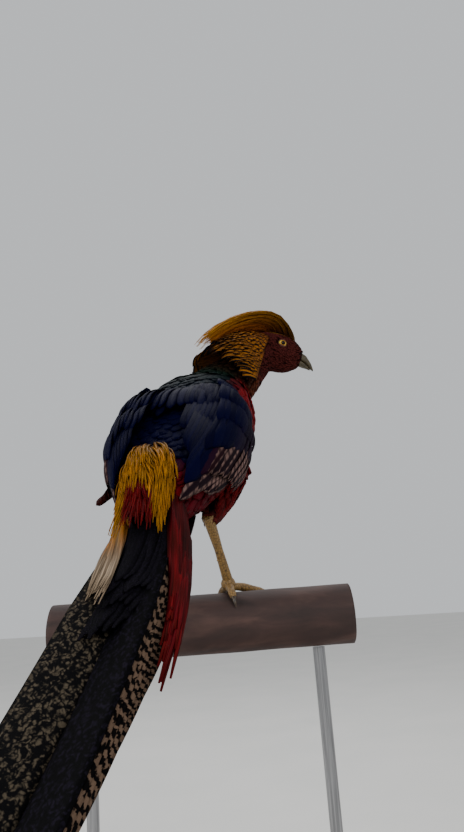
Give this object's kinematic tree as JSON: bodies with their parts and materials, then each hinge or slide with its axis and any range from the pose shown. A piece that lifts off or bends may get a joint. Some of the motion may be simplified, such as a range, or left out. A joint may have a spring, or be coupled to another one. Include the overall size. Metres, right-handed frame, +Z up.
{
  "type": "golden pheasant",
  "caption": "Life-size golden pheasant cock looking over its right shoulder, gripping a cut length of pole on a plain display stand.",
  "frame": {"origin": "centre of the underside of the stand's round base, below the middle of the pole", "axes": "+Z up, the bird heads along -Y with its tail towards +Y, and its right side is towards -X"},
  "size_m": [0.33, 0.803, 0.6378],
  "materials": {
    "scarlet_plumage": "soft scarlet body feathers",
    "face_plumage": "short rusty brown feathers",
    "eye": "moist and glossy, pale yellow iris",
    "bill_horn": "satin yellowish horn",
    "crest_gold": "silky golden hair-like feathers",
    "cape_feathers": "orange gold feathers barred with blue-black",
    "rump_gold": "silky yellow hair-like feathers",
    "wing_feathers": "firm vanes, blue-black above and barred brown below",
    "tail_feathers": "long firm vanes, black spotted and barred with buff",
    "leg_skin": "dull yellow scaled skin",
    "claw_horn": "satin dark horn",
    "perch_wood": "weathered round pole",
    "stand_wood": "dark stained and waxed",
    "stand_steel": "brushed round rod"
  },
  "bodies": {
    "root": {"torso": "scarlet_plumage", "neck": "face_plumage", "head": "face_plumage", "eye_left": "eye", "eye_right": "eye", "bill_upper": "bill_horn", "bill_lower": "bill_horn", "crest": "crest_gold", "cape": "cape_feathers", "rump": "rump_gold", "wing_left": "wing_feathers", "wing_right": "wing_feathers", "coverts_left": "scarlet_plumage", "coverts_right": "scarlet_plumage", "tail": "tail_feathers", "thigh_left": "scarlet_plumage", "thigh_right": "scarlet_plumage", "shank_left": "leg_skin", "shank_right": "leg_skin", "foot_left": "leg_skin", "foot_right": "leg_skin", "claw_left_1": "claw_horn", "claw_left_2": "claw_horn", "claw_left_3": "claw_horn", "claw_left_4": "claw_horn", "claw_right_1": "claw_horn", "claw_right_2": "claw_horn", "claw_right_3": "claw_horn", "claw_right_4": "claw_horn", "perch": "perch_wood", "stand_base": "stand_wood", "stand_rod_left": "stand_steel", "stand_rod_right": "stand_steel"}
  },
  "joints": []
}
